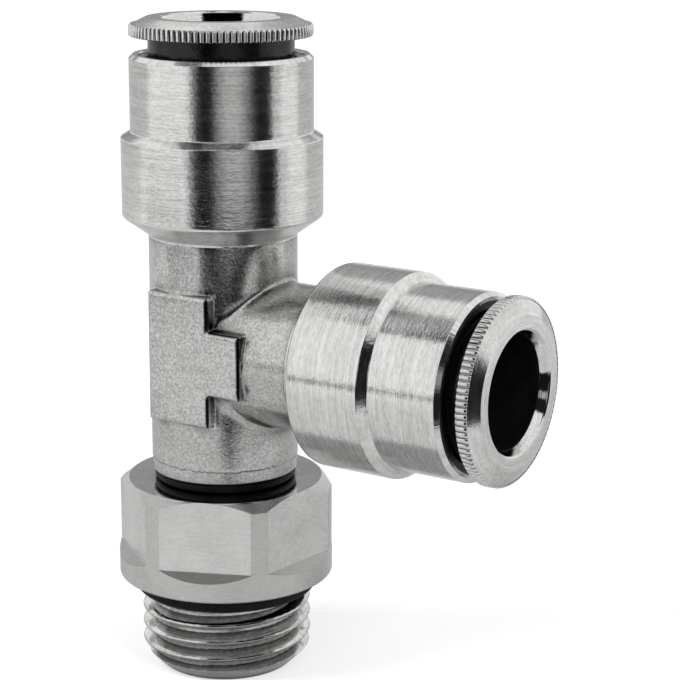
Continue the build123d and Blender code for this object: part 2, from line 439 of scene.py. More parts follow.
@dataclass(frozen=True)
class MouldedFinish:
    """Black moulded rubber or polymer."""

    name: str
    colour: tuple[float, float, float] = (0.003, 0.003, 0.0033)
    roughness: float = 0.4
    gloss: float = 0.12
    wave: float = 0.004

    def build(self) -> bpy.types.Material:
        """Make the material.

        Returns:
            The material.
        """
        material, nodes, shader = principled(self.name, 0.0)
        shader.inputs["Specular IOR Level"].default_value = self.gloss
        coord = nodes.add("ShaderNodeTexCoord")[3]
        pores = nodes.noise(coord, 6.0 / MM, 2.0)
        cloud = nodes.noise(coord, 0.6 / MM, 2.0)
        colour = nodes.shade(cloud.step(0.3, 0.8), self.colour, tuple(v * 1.8 for v in self.colour))
        finish_surface(nodes, shader, colour, cloud * 0.15 + self.roughness, pores * 0.1 + cloud, self.wave)
        return material


Profile = Sequence[tuple[float, float, float]]


def rounded(profile: Profile, steps: int = 4) -> tuple[np.ndarray, np.ndarray]:
    """Round the corners of a closed outline.

    Args:
        profile: (radius, level, corner rounding) points.
        steps: Pieces per rounded corner.

    Returns:
        Points and outward normals, anticlockwise in (radius, level).
    """
    corners = np.array([p[:2] for p in profile], float)
    radii = np.array([p[2] for p in profile], float)
    nxt = np.roll(corners, -1, 0)
    if np.sum(corners[:, 0] * nxt[:, 1] - nxt[:, 0] * corners[:, 1]) < 0:
        corners, radii = corners[::-1], radii[::-1]
    points, normals = [], []
    count = len(corners)
    for i in range(count):
        before, here, after = corners[i - 1], corners[i], corners[(i + 1) % count]
        come, go = here - before, after - here
        long_in, long_out = np.linalg.norm(come), np.linalg.norm(go)
        come, go = come / long_in, go / long_out
        turn = math.atan2(come[0] * go[1] - come[1] * go[0], float(come @ go))
        cut = min(radii[i] * abs(math.tan(turn / 2)), 0.45 * long_in, 0.45 * long_out)
        start, end = here - come * cut, here + go * cut
        first, last = np.array([come[1], -come[0]]), np.array([go[1], -go[0]])
        radius = cut / max(abs(math.tan(turn / 2)), 1e-9)
        side = 1 if turn > 0 else -1
        centre = start - first * radius * side
        for k in range(steps + 1):
            angle = turn * k / steps
            cos, sin = math.cos(angle), math.sin(angle)
            normal = np.array([first[0] * cos - first[1] * sin, first[0] * sin + first[1] * cos])
            points.append(centre + normal * radius * side if 0 < k < steps else (start if k == 0 else end))
            normals.append(last if k == steps else normal)
    return np.array(points), np.array(normals)


def piece_from(name: str, points: np.ndarray, normals: np.ndarray | None, faces: np.ndarray | list, place: Matrix) -> bpy.types.Object:
    """Make a mesh object at the origin, with its place in its mesh.

    Args:
        name: The piece's name.
        points: Vertices in millimetres, in the piece's own frame.
        normals: Their normals, or None for Blender's own.
        faces: Vertex numbers of each face.
        place: From the piece's own frame to the part's, in millimetres.

    Returns:
        The new object.
    """
    turn = np.array(place.to_3x3())
    mesh = bpy.data.meshes.new(name)
    mesh.from_pydata((points @ turn.T + np.array(place.translation)) * MM, [], [tuple(f) for f in faces])
    mesh.polygons.foreach_set("use_smooth", [True] * len(mesh.polygons))
    if normals is not None:
        mesh.normals_split_custom_set_from_vertices([tuple(n) for n in normals @ turn.T])
    mesh.update()
    made = bpy.data.objects.new(name, mesh)
    bpy.context.scene.collection.objects.link(made)
    return made


def grid_faces(rows: int, columns: int) -> np.ndarray:
    """Faces of a grid that closes on itself both ways, row by row.

    Args:
        rows: Points along the outline.
        columns: Points round the axis.

    Returns:
        Four vertex numbers per face.
    """
    i, j = np.meshgrid(np.arange(rows), np.arange(columns), indexing="ij")
    right, up = (j + 1) % columns, (i + 1) % rows
    return np.stack([i * columns + j, i * columns + right, up * columns + right, up * columns + j], -1).reshape(-1, 4)


def lathe(name: str, profile: Profile, axis: Axis, segments: int = 192) -> bpy.types.Object:
    """Turn a closed outline round an axis.

    Args:
        name: The piece's name.
        profile: (radius, level, corner rounding) points.
        axis: What it is turned round.
        segments: Columns round the axis.

    Returns:
        The closed ring, with exact normals.
    """
    outline, slopes = rounded(profile)
    angle = np.linspace(0, 2 * math.pi, segments, endpoint=False)
    cos, sin = np.cos(angle)[None, :], np.sin(angle)[None, :]
    r, z = outline[:, :1], np.repeat(outline[:, 1:], segments, 1)
    points = np.stack([r * cos, r * sin, z], -1).reshape(-1, 3)
    nr, nz = slopes[:, :1], np.repeat(slopes[:, 1:], segments, 1)
    normals = np.stack([nr * cos, nr * sin, nz], -1).reshape(-1, 3)
    return piece_from(name, points, normals, grid_faces(len(outline), segments), axis.place)


def hand_over(made: bpy.types.Object, body: Body, slot: Slot, material: bpy.types.Material, *nodes: str) -> bpy.types.Object:
    """Dress a piece, tie it to its body and hide the solids that it stands for.

    Args:
        made: The piece.
        body: The body it rides on.
        slot: Its material slot in the record; not used.
        material: Its material.
        nodes: The solids that it replaces.

    Returns:
        The piece.
    """
    made.data.materials.clear()
    made.data.materials.append(material)
    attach(made, body.value)
    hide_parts(*nodes)
    LOG.info("%s: %d faces on %s", made.name, len(made.data.polygons), body.value)
    return made


class GeometryTree:
    """A Geometry Nodes tree with named inputs that is run once and turned into a plain mesh."""

    def __init__(self, name: str, sizes: dict[str, float]) -> None:
        """Start the tree.

        Args:
            name: The tree's name.
            sizes: Named float inputs with their values.
        """
        self.tree = bpy.data.node_groups.new(name, "GeometryNodeTree")
        self.nodes = Nodes(self.tree)
        self.values = sizes
        self.tree.interface.new_socket("Geometry", in_out="INPUT", socket_type="NodeSocketGeometry")
        self.tree.interface.new_socket("Geometry", in_out="OUTPUT", socket_type="NodeSocketGeometry")
        self.keys = {}
        for size in sizes:
            made = self.tree.interface.new_socket(size, in_out="INPUT", socket_type="NodeSocketFloat")
            self.keys[size] = made.identifier
        outputs = self.nodes.add("NodeGroupInput")
        self.geometry = outputs[0]
        self.size = dict(zip(sizes, outputs[1:]))

    def run(self, name: str, source: bpy.types.Object, result: Sock, material: bpy.types.Material) -> bpy.types.Object:
        """End the tree, run it on a mesh and keep the plain result.

        Args:
            name: The finished piece's name.
            source: The mesh that goes in; it is removed afterwards.
            result: The geometry that comes out.
            material: The finished piece's material.

        Returns:
            The finished piece.
        """
        whole = self.nodes.add("GeometryNodeRealizeInstances", None, {0: result})[0]
        dressed = self.nodes.add("GeometryNodeSetMaterial", None, {"Geometry": whole, "Material": material})[0]
        self.nodes.add("NodeGroupOutput", None, {0: dressed})
        modifier = source.modifiers.new("shape", "NODES")
        modifier.node_group = self.tree
        for size, key in self.keys.items():
            modifier[key] = float(self.values[size])
        bpy.context.view_layer.update()
        evaluated = source.evaluated_get(bpy.context.evaluated_depsgraph_get())
        mesh = bpy.data.meshes.new_from_object(evaluated)
        source.modifiers.remove(modifier)
        old = source.data
        bpy.data.objects.remove(source)
        bpy.data.meshes.remove(old)
        mesh.name = name
        made = bpy.data.objects.new(name, mesh)
        bpy.context.scene.collection.objects.link(made)
        return made


def ring_of(name: str, one: bpy.types.Object, count: int, axis: Axis, material: bpy.types.Material) -> bpy.types.Object:
    """Repeat a mesh evenly round an axis.

    Args:
        name: The finished piece's name.
        one: One of the pieces, made round its own Z axis, in millimetres times MM.
        count: How many there are.
        axis: What they stand round.
        material: Their material.

    Returns:
        All of them as one plain mesh.
    """
    tree = GeometryTree(name + "_tree", {"Count": count})
    add = tree.nodes.add
    points = add("GeometryNodePoints", None, {"Count": tree.size["Count"]})[0]
    turn = add("GeometryNodeInputIndex")[0] * (2 * math.pi) / tree.size["Count"]
    placed = add("GeometryNodeInstanceOnPoints", None, {
        "Points": points, "Instance": tree.geometry, "Rotation": tree.nodes.join(0.0, 0.0, turn)})[0]
    made = tree.run(name, one, placed, material)
    place = axis.place.copy()
    place.translation = place.translation * MM
    made.data.transform(place)
    return made


@dataclass
class Port:
    """One tube port: collars of the body, collet, and the rings inside. Levels run outwards."""

    side: str
    axis: Axis
    ring_body: Body
    stem_r: float
    tube_r: float = 4.0
    socket_r: float = 4.1
    bore_r: float = 4.2
    mouth_r: float = 4.61
    lip_r: float = 5.57
    neck_r: float = 5.45
    finger_r: float = 4.95
    throat_r: float = 5.6
    bulge_r: float = 5.9
    cavity_r: float = 6.2
    head_r: float = 6.84
    narrow_r: float = 6.87
    wide_r: float = 7.59
    mouth_l: float = 0.73
    bevel_l: float = 0.52
    head_back: float = -1.39
    rim: float = -2.70
    narrow_end: float = -8.41
    step_end: float = -8.86
    wide_end: float = -14.77
    shoulder_end: float = -16.15
    neck_end: float = -4.49
    bulge_front: float = -9.89
    tip: float = -11.49
    washer_front: float = -12.99
    washer_back: float = -13.59
    floor: float = -15.29
    tube_stop: float = -18.29
    knurl_count: int = 94
    knurl_depth: float = 0.15
    slot_count: int = 8
    slot_w: float = 0.7

    def collar(self, finish: bpy.types.Material) -> bpy.types.Object:
        """The body's turned collars with the stepped bore behind them.

        Args:
            finish: Turned metal.

        Returns:
            The piece.
        """
        made = lathe(self.side + "_collars", [
            (self.stem_r - 0.5, self.shoulder_end - 0.5, 0.0), (self.stem_r - 0.02, self.shoulder_end - 0.25, 0.0),
            (self.stem_r + 0.02, self.shoulder_end, 0.10), (self.wide_r, self.wide_end, 0.35), (self.wide_r, self.step_end, 0.10),
            (self.narrow_r, self.narrow_end, 0.12), (self.narrow_r, self.rim - 0.3, 0.05), (self.narrow_r - 0.3, self.rim, 0.05),
            (self.cavity_r + 0.1, self.rim, 0.04), (self.cavity_r, self.rim - 0.12, 0.04), (self.cavity_r, self.floor, 0.08),
            (self.socket_r + 0.3, self.floor, 0.03), (self.socket_r, self.floor - 0.3, 0.05),
            (self.socket_r, self.tube_stop, 0.05), (self.stem_r - 0.5, self.tube_stop, 0.05)], self.axis)
        return hand_over(made, Body.TEE, Slot.TURNED, finish, "tee_body")

    def push_ring(self, finish: bpy.types.Material) -> bpy.types.Object:
        """The metal push ring on the collet, up to the roots of its knurl.

        Args:
            finish: Bright metal.

        Returns:
            The piece.
        """
        root = self.head_r - self.knurl_depth
        made = lathe(self.side + "_cap", [
            (self.neck_r + 0.02, self.head_back, 0.05), (root, self.head_back, 0.06), (root, -self.bevel_l - 0.14, 0.03),
            (root + 0.04, -self.bevel_l - 0.05, 0.03), (self.lip_r, 0.0, 0.14), (self.mouth_r, 0.0, 0.05),
            (self.mouth_r - 0.12, -0.1, 0.2), (self.mouth_r - 0.27, -0.42, 0.4), (self.bore_r, -self.mouth_l, 0.02),
            (self.neck_r + 0.02, -self.mouth_l, 0.02)], self.axis)
        return hand_over(made, self.ring_body, Slot.TURNED, finish, self.side + "_push_ring")

    def sleeve(self, finish: bpy.types.Material) -> bpy.types.Object:
        """The collet's neck, whose front is seated in the push ring.

        Args:
            finish: Moulded polymer.

        Returns:
            The piece.
        """
        front = -self.mouth_l - 0.02
        made = lathe(self.side + "_sleeve", [
            (self.bore_r, self.neck_end, 0.05), (self.neck_r, self.neck_end, 0.05),
            (self.neck_r, front, 0.03), (self.bore_r, front, 0.03)], self.axis)
        return hand_over(made, self.ring_body, Slot.POLYMER, finish, self.side + "_collet")

    def knurl(self, finish: bpy.types.Material) -> bpy.types.Object:
        """The straight ribs round the push ring.

        Args:
            finish: Bright metal.

        Returns:
            The piece.
        """
        pitch = 2 * math.pi * self.head_r / self.knurl_count
        root, low, high = self.head_r - self.knurl_depth - 0.05, self.head_back + 0.02, -self.bevel_l
        section = [(0.44, 0.0), (0.38, 0.35), (0.29, 0.82), (0.16, 0.98), (0.05, 1.0)]
        section = [(-w, h) for w, h in section] + [(w, h) for w, h in reversed(section)]
        rows = [(low, 0.55), (low + 0.07, 1.0), (high - 0.10, 1.0), (high + 0.03, 0.35)]
        points = []
        for level, grow in rows:
            for width, height in section:
                reach = root + (self.head_r - root) * min(height, grow)
                points.append((reach, width * pitch, level))
        size = len(section)
        faces = [tuple(range(size))[::-1], tuple(range(3 * size, 4 * size))]
        for i in range(3):
            for j in range(size):
                k = (j + 1) % size
                faces.append((i * size + j, i * size + k, (i + 1) * size + k, (i + 1) * size + j))
        one = piece_from(self.side + "_rib", np.array(points), None, faces, Matrix.Identity(4))
        one.data.set_sharp_from_angle(angle=math.radians(40))
        made = ring_of(self.side + "_knurl", one, self.knurl_count, self.axis, finish)
        return hand_over(made, self.ring_body, Slot.TURNED, finish, self.side + "_push_ring")

    def fingers(self, finish: bpy.types.Material) -> bpy.types.Object:
        """The collet's gripping fingers, with their teeth.

        Args:
            finish: Moulded polymer.

        Returns:
            The piece.
        """
        bite_r = self.tube_r - 0.09
        outline, _ = rounded([
            (self.bore_r, self.neck_end + 0.02, 0.0), (self.neck_r - 0.02, self.neck_end + 0.02, 0.0),
            (self.finger_r, self.neck_end - 0.5, 0.2), (self.finger_r, self.bulge_front + 2.85, 0.3),
            (self.bulge_r, self.bulge_front, 0.15), (self.bulge_r, self.bulge_front - 0.6, 0.15),
            (self.finger_r, self.tip, 0.08), (self.bore_r, self.tip, 0.05),
            (self.bore_r, self.bulge_front - 1.35, 0.0), (bite_r, self.bulge_front - 1.2, 0.03),
            (self.bore_r, self.bulge_front - 0.9, 0.0), (self.bore_r, self.bulge_front - 0.45, 0.0),
            (bite_r, self.bulge_front - 0.3, 0.03), (self.bore_r, self.bulge_front, 0.0)], 3)
        half = math.pi / self.slot_count - np.arcsin(self.slot_w / 2 / outline[:, 0])
        columns = 10
        share = np.linspace(-1, 1, columns)
        angle = half[:, None] * share[None, :] + math.pi / self.slot_count
        points = np.stack([outline[:, :1] * np.cos(angle), outline[:, :1] * np.sin(angle),
                           np.repeat(outline[:, 1:], columns, 1)], -1).reshape(-1, 3)
        rows = len(outline)
        faces = []
        for i in range(rows):
            k = (i + 1) % rows
            faces += [(i * columns + j, i * columns + j + 1, k * columns + j + 1, k * columns + j) for j in range(columns - 1)]
        faces += [tuple(i * columns for i in range(rows)), tuple(i * columns + columns - 1 for i in reversed(range(rows)))]
        one = piece_from(self.side + "_finger", points, None, faces, Matrix.Identity(4))
        one.data.set_sharp_from_angle(angle=math.radians(35))
        made = ring_of(self.side + "_fingers", one, self.slot_count, self.axis, finish)
        return hand_over(made, self.ring_body, Slot.POLYMER, finish, self.side + "_collet")

    def rings(self, polymer: bpy.types.Material, brass: bpy.types.Material, rubber: bpy.types.Material) -> None:
        """The cone ring, the support washer and the tube seal.

        Args:
            polymer: Moulded polymer.
            brass: Bare brass.
            rubber: Black rubber.
        """
        outside = self.cavity_r - 0.02
        start = self.rim - 0.25
        cone = lathe(self.side + "_cone", [
            (self.throat_r, start, 0.08), (outside, start, 0.08), (outside, start - 6.82, 0.02),
            (outside - 0.2, start - 6.82, 0.02), (self.throat_r, start - 6.82 + 1.14, 0.1)], self.axis)
        hand_over(cone, Body.TEE, Slot.POLYMER, polymer, self.side + "_cone_ring")
        washer = lathe(self.side + "_washer", [
            (self.bore_r, self.washer_back, 0.05), (outside, self.washer_back, 0.05),
            (outside, self.washer_front, 0.05), (self.bore_r, self.washer_front, 0.05)], self.axis)
        hand_over(washer, Body.TEE, Slot.BRASS, brass, self.side + "_support_washer")
        front, back = self.washer_back - 0.02, self.floor + 0.02
        lip = self.tube_r - 0.09
        seal = lathe(self.side + "_seal", [
            (outside, front, 0.1), (self.bore_r + 0.2, front, 0.1), (lip, front - 0.3, 0.08), (lip, (front + back) / 2 - 0.15, 0.15),
            ((outside + lip) / 2, back, 0.2), (outside, back, 0.1)], self.axis)
        hand_over(seal, Body.TEE, Slot.RUBBER, rubber, self.side + "_tube_seal")


@dataclass
class Forging:
    """The tee's forged middle: stem, branch neck, blends and flat pads, as one field of distances."""

    run: Port
    branch: Port
    branch_z: float = 18.04
    foot_z: float = 8.44
    foot_top: float = 9.40
    foot_r: float = 5.58
    stem_r: float = 5.64
    neck_r: float = 5.50
    blend: float = 0.75
    pad_y: float = 5.95
    pad_half_w: float = 2.75
    pad_half_h: float = 4.97
    tab_half_h: float = 2.45
    tab_reach: float = 5.6
    bore_r: float = 4.75
    bore_top: float = 13.4
    passage_r: float = 3.0
    voxel: float = 0.15

    def core(self, finish: bpy.types.Material) -> bpy.types.Object:
        """The forged skin with its bores.

        Args:
            finish: Blasted metal.

        Returns:
            The piece.
        """
        top = self.run.axis.origin[2] + self.run.shoulder_end
        reach = self.branch.axis.origin[0] + self.branch.shoulder_end
        tree = GeometryTree("forging", {
            "Stem": self.stem_r, "Neck": self.neck_r, "Blend": self.blend, "Pad": self.pad_y,
            "Top": top, "Reach": reach, "Foot": self.foot_top, "Level": self.branch_z})
        size = tree.size
        x, y, z = tree.nodes.split(tree.nodes.add("GeometryNodeInputPosition")[0])
        up = z - size["Level"]
        stem = (x * x + y * y).sqrt() - size["Stem"]
        neck = ((y * y + up * up).sqrt() - size["Neck"]).most(-x - 1.0)
        skin = stem.blend_least(neck, self.blend)
        bar = (abs(x) - self.pad_half_w).most(abs(up) - self.pad_half_h)
        tab = (abs(x - self.tab_reach / 2) - self.tab_reach / 2).most(abs(up) - self.tab_half_h)
        pad = _rounded_most(bar.least(tab), abs(y) - size["Pad"], 0.18)
        skin = skin.blend_least(pad, 0.22)
        ends = (size["Foot"] - z).most(z - size["Top"]).most(x - size["Reach"])
        skin = skin.most(ends)
        turned = (x * x + y * y).sqrt()
        swivel = (turned - self.bore_r).most(z - self.bore_top)
        passage = turned - self.passage_r
        across = ((y * y + up * up).sqrt() - self.passage_r).most(-x)
        stop_z = self.run.axis.origin[2] + self.run.tube_stop
        stop_x = self.branch.axis.origin[0] + self.branch.tube_stop
        run_socket = (turned - self.run.socket_r - 0.5).most(stop_z - z)
        branch_socket = ((y * y + up * up).sqrt() - self.branch.socket_r - 0.5).most(stop_x - x)
        hollow = swivel.least(passage).least(across).least(run_socket).least(branch_socket)
        solid = skin.most(-hollow)
        low = Vector((-6.4, -6.4, self.foot_top - 0.6))
        high = Vector((reach + 0.6, 6.4, top + 0.6))
        steps = [int(round((high[i] - low[i]) / self.voxel)) for i in range(3)]
        cube = tree.nodes.add("GeometryNodeVolumeCube", None, {
            "Density": 10.0 - solid, "Background": 0.0, "Min": low, "Max": high,
            "Resolution X": steps[0], "Resolution Y": steps[1], "Resolution Z": steps[2]})[0]
        skin_mesh = tree.nodes.add("GeometryNodeVolumeToMesh", None, {"Volume": cube, "Threshold": 10.0})[0]
        smooth = tree.nodes.add("GeometryNodeSetShadeSmooth", None, {"Geometry": skin_mesh, "Shade Smooth": True})[0]
        start = piece_from("forging_start", np.zeros((1, 3)), None, [], Matrix.Identity(4))
        made = tree.run("tee_forging", start, smooth, finish)
        made.data.transform(Matrix.Scale(MM, 4))
        return hand_over(made, Body.TEE, Slot.FORGED, finish, "tee_body")

    def foot(self, finish: bpy.types.Material) -> bpy.types.Object:
        """The turned band at the foot, round the swivel bore.

        Args:
            finish: Turned metal.

        Returns:
            The piece.
        """
        made = lathe("tee_foot", [
            (self.bore_r + 0.3, self.foot_z, 0.05), (self.foot_r, self.foot_z, 0.12), (self.foot_r, self.foot_top + 0.03, 0.03),
            (self.stem_r - 0.3, self.foot_top + 0.3, 0.03), (self.bore_r, self.foot_top + 0.3, 0.02),
            (self.bore_r, self.foot_z + 0.3, 0.05)], Axis((0, 0, 0)))
        return hand_over(made, Body.TEE, Slot.FORGED, finish, "tee_body")


def _rounded_most(a: Sock, b: Sock, radius: float) -> Sock:
    """The larger of two distances, with the edge where they meet rounded.

    Args:
        a: First distance.
        b: Second distance.
        radius: The edge's rounding.

    Returns:
        The distance to the rounded shape.
    """
    return -((-a).blend_least(-b, radius * 2.5))


@dataclass
class Stud:
    """The male stud: hexagon, thread and the neck inside the tee."""

    axis: Axis = field(default_factory=lambda: Axis((0, 0, 0)))
    af: float = 15.0
    corner_r: float = 8.32
    top_z: float = 7.65
    crown_l: float = 0.65
    collar_l: float = 2.15
    ramp: float = 0.75
    turn: float = -5.9
    bore_r: float = 3.0
    thread_r: float = 6.5785
    pitch: float = 1.337
    thread_l: float = 7.41
    end_cut: float = 1.43
    undercut_r: float = 5.78
    undercut_l: float = 1.3
    crest_at: tuple[float, float] = (-53.3, -2.51)
    neck_r: float = 4.7
    neck_top: float = 13.1

    def hexagon(self, finish: bpy.types.Material) -> bpy.types.Object:
        """The hexagon over its round collar, with the cutter's run-out under each flat.

        Args:
            finish: Satin machined metal.

        Returns:
            The piece.
        """
        flat = self.af / 2
        wide = math.acos(flat / self.corner_r)
        spread = np.linspace(0, 1, 25)[1:-1]
        crown = [(flat / math.cos(b), self.top_z - (flat / math.cos(b) - flat) / (self.corner_r - flat) * self.crown_l)
                 for b in wide * (1 - spread)]
        runout = [(self.corner_r, self.collar_l - (self.corner_r * math.cos(b) - flat) * self.ramp) for b in wide * spread]
        low_z = self.collar_l - (self.corner_r - flat) * self.ramp
        outline, slopes = rounded([
            (self.bore_r, 0.0, 0.05), (self.corner_r, 0.0, 0.16), (self.corner_r, self.top_z - self.crown_l, 0.05),
            (flat, self.top_z, 0.07), (self.bore_r, self.top_z, 0.05)])
        rows = [(r, z, a, b) for (r, z), (a, b) in zip(outline, slopes)]
        crown_n = np.array([self.crown_l, self.corner_r - flat]) / math.hypot(self.crown_l, self.corner_r - flat)
        extra = [(r, z, *crown_n) for r, z in crown if self.top_z - self.crown_l + 0.06 < z < self.top_z - 0.04]
        side = [low_z, *[z for _, z in runout], self.collar_l - 0.02, self.collar_l + 0.02]
        extra += [(self.corner_r, z, 1.0, 0.0) for z in side + list(np.linspace(self.collar_l + 0.5, self.top_z - self.crown_l - 0.3, 6))]
        outer = [i for i, row in enumerate(rows) if row[0] > flat - 0.2 and row[1] > 0.1]
        first, last = outer[0], outer[-1] + 1
        middle = sorted(rows[first:last] + extra, key=lambda row: row[1])
        rows = rows[:first] + middle + rows[last:]
        nf, nc = 12, 20
        soft = math.radians(0.35)
        points, normals = [], []
        for r, z, a, b in rows:
            depth = flat + max(0.0, (self.collar_l - z)) / self.ramp
            cut = math.acos(min(1.0, depth / r)) if r > flat - 0.3 else 0.0
            cut = min(max(cut, math.radians(1.0)), wide)
            ramp_n = (1.0, 0.0) if z > self.collar_l else (self.ramp / math.hypot(1, self.ramp), 1 / math.hypot(1, self.ramp))
            for k in range(6):
                middle_angle = math.radians(self.turn + 60 * k)
                inner = list(np.linspace(-(cut - soft), cut - soft, nf))
                edge = math.pi / 3 - cut - soft
                outer_angles = list(np.linspace(cut + soft, edge, nc))
                for t in inner + outer_angles:
                    on_flat = t <= cut - soft + 1e-9 and depth / math.cos(t) < r + 1e-6
                    reach = depth / math.cos(t) if on_flat else r
                    phi = middle_angle + t
                    points.append((reach * math.cos(phi), reach * math.sin(phi), z))
                    if on_flat:
                        normals.append((ramp_n[0] * math.cos(middle_angle), ramp_n[0] * math.sin(middle_angle), ramp_n[1]))
                    else:
                        normals.append((a * math.cos(phi), a * math.sin(phi), b))
        made = piece_from("hexagon", np.array(points), np.array(normals), grid_faces(len(rows), 6 * (nf + nc)), self.axis.place)
        return hand_over(made, Body.STUD, Slot.TURNED, finish, "male_stud")

    def thread(self, finish: bpy.types.Material) -> bpy.types.Object:
        """The right-hand parallel thread with its undercut, end chamfer and bore.

        Args:
            finish: Bright cut metal.

        Returns:
            The piece.
        """
        depth = 0.6403 * self.pitch
        crest = 0.1373 * self.pitch

        def reach(z: np.ndarray, angle: np.ndarray) -> np.ndarray:
            """Radius of the cut stud at a level and an angle."""
            turns = (angle - math.radians(self.crest_at[0])) / (2 * math.pi)
            phase = np.abs(((z - self.crest_at[1]) / self.pitch - turns + 0.5) % 1.0 - 0.5) * self.pitch
            flank = self.thread_r - (phase - 0.085 * self.pitch) / math.tan(math.radians(27.5))
            cut = np.minimum(flank, self.thread_r) - crest * np.exp(-((phase - 0.085 * self.pitch) / 0.07) ** 2) * 0.25
            cut = np.maximum(cut, self.thread_r - depth)
            end = self.thread_r - self.end_cut + (z + self.thread_l)
            ease = self.undercut_r + np.maximum(0.0, -(z + self.undercut_l)) * 2.0
            return np.minimum(np.minimum(cut, end), ease)

        columns = 288
        angle = np.linspace(0, 2 * math.pi, columns, endpoint=False)[None, :]
        levels = np.concatenate([np.linspace(-self.thread_l + 0.06, -self.undercut_l, 232), [-0.8, 0.0]])[:, None]
        radius = reach(levels, angle)
        step = 0.004
        by_z = (reach(levels + step, angle) - reach(levels - step, angle)) / (2 * step)
        by_angle = (reach(levels, angle + step) - reach(levels, angle - step)) / (2 * step) / radius
        ends = [(self.undercut_r, 0.0, 0, 1), (self.bore_r, 0.0, 0, 1), (self.bore_r, 0.0, -1, 0),
                (self.bore_r, -self.thread_l + 0.5, -1, 0), (self.bore_r, -self.thread_l + 0.5, -0.7, -0.7),
                (self.bore_r + 0.5, -self.thread_l, -0.7, -0.7), (self.bore_r + 0.5, -self.thread_l, 0, -1),
                (self.thread_r - self.end_cut - 0.04, -self.thread_l, 0, -1)]
        cos, sin = np.cos(angle), np.sin(angle)
        norm = np.sqrt(1 + by_z ** 2 + by_angle ** 2)
        tall = np.repeat(levels, columns, 1)
        points = [np.stack([radius * cos, radius * sin, tall], -1)]
        normals = [np.stack([(cos + by_angle * sin) / norm, (sin - by_angle * cos) / norm, -by_z / norm], -1)]
        for r, z, a, b in ends:
            size = math.hypot(a, b)
            points.append(np.stack([r * cos, r * sin, np.full_like(cos, z)], -1))
            normals.append(np.stack([a / size * cos, a / size * sin, np.full_like(cos, b / size)], -1))
        points, normals = np.concatenate(points), np.concatenate(normals)
        made = piece_from("thread", points.reshape(-1, 3), normals.reshape(-1, 3), grid_faces(len(points), columns), self.axis.place)
        return hand_over(made, Body.STUD, Slot.TURNED, finish, "male_stud")

    def neck(self, finish: bpy.types.Material) -> bpy.types.Object:
        """The neck that the tee turns on, with its two grooves.

        Args:
            finish: Turned metal.

        Returns:
            The piece.
        """
        groove, clip = self.top_z + 1.95, self.top_z + 4.3
        made = lathe("stud_neck", [
            (self.bore_r, self.top_z - 0.2, 0.0), (self.neck_r, self.top_z - 0.2, 0.0),
            (self.neck_r, groove, 0.05), (self.neck_r - 0.85, groove, 0.1), (self.neck_r - 0.85, groove + 1.3, 0.1),
            (self.neck_r, groove + 1.3, 0.05), (self.neck_r, clip - 0.4, 0.03), (self.neck_r - 0.5, clip - 0.4, 0.03),
            (self.neck_r - 0.5, clip + 0.4, 0.03), (self.neck_r, clip + 0.4, 0.03),
            (self.neck_r, self.neck_top - 0.3, 0.05), (self.neck_r - 0.3, self.neck_top, 0.05),
            (self.bore_r, self.neck_top, 0.05)], self.axis)
        return hand_over(made, Body.STUD, Slot.TURNED, finish, "male_stud")

    def rubber(self, finish: bpy.types.Material, steel: bpy.types.Material) -> None:
        """The two outer rubber rings and the swivel seal.

        Args:
            finish: Black rubber.
            steel: Spring steel; not used.
        """
        for name, node, inner, low, high in (
                ("seat_o_ring", "seat_seal", self.undercut_r + 0.02, -1.34, -0.02),
                ("wiper", "wiper_ring", self.neck_r + 0.05, self.top_z + 0.05, self.top_z + 0.74),
                ("neck_o_ring", "swivel_seal", self.neck_r - 0.83, self.top_z + 2.185, self.top_z + 3.015)):
            section = high - low
            made = lathe(name, [(inner, low, section / 2), (inner + section, low, section / 2),
                                (inner + section, high, section / 2), (inner, high, section / 2)], self.axis)
            hand_over(made, Body.STUD, Slot.RUBBER, finish, node)


